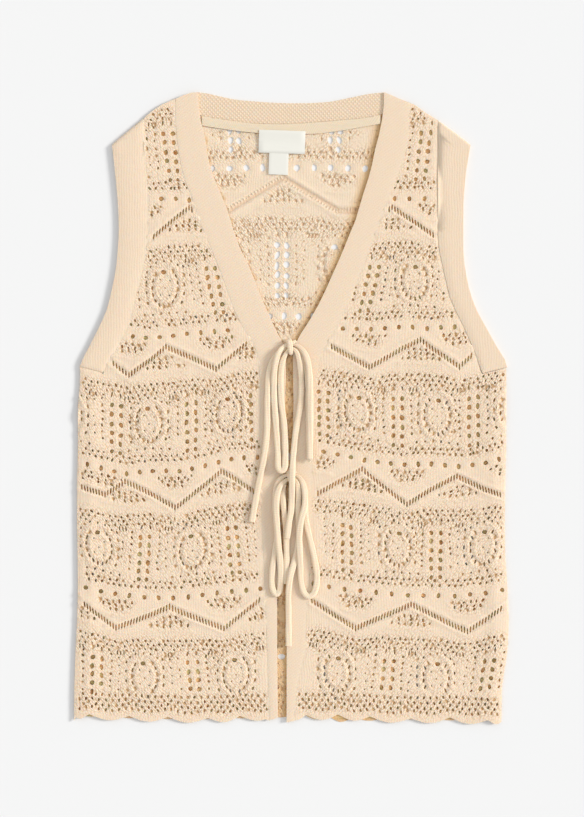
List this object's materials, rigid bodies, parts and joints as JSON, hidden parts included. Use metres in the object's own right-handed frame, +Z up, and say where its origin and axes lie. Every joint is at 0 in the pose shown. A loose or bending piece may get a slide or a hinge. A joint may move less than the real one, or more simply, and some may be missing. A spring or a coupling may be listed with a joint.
{
  "type": "sleeveless knitted cardigan",
  "caption": "Sleeveless openwork-knit cotton cardigan laid flat: V neck, edge-to-edge fronts with plain bands, tie bows, armhole bands and a scalloped hem.",
  "frame": {"origin": "middle of the laid-out garment's outline without its ties, at the level its back rests on", "axes": "+Z up out of the surface it lies on, +Y from hem to neck, +X towards the wearer's left (the viewer's right)"},
  "size_m": [0.4348, 0.6311, 0.0144],
  "materials": {
    "openwork_cotton_knit": "openwork cotton knit, cream with a peach cast",
    "close_cotton_knit": "close cotton knit",
    "cotton_neck_tape": "smooth cotton tape",
    "woven_label": "fine woven label, blank",
    "tubular_cotton_cord": "fine tubular knit, pressed flat"
  },
  "bodies": {
    "root": {"back_panel": "openwork_cotton_knit", "front_right": "openwork_cotton_knit", "front_left": "openwork_cotton_knit", "front_band_right": "close_cotton_knit", "front_band_left": "close_cotton_knit", "armhole_band_right": "close_cotton_knit", "armhole_band_left": "close_cotton_knit", "back_neck_band": "close_cotton_knit", "neck_tape": "cotton_neck_tape", "woven_label": "woven_label", "size_tab": "woven_label", "upper_tie_right": "tubular_cotton_cord", "upper_tie_left": "tubular_cotton_cord", "upper_bow_knot": "tubular_cotton_cord", "lower_tie_right": "tubular_cotton_cord", "lower_tie_left": "tubular_cotton_cord", "lower_bow_knot": "tubular_cotton_cord"}
  },
  "joints": []
}
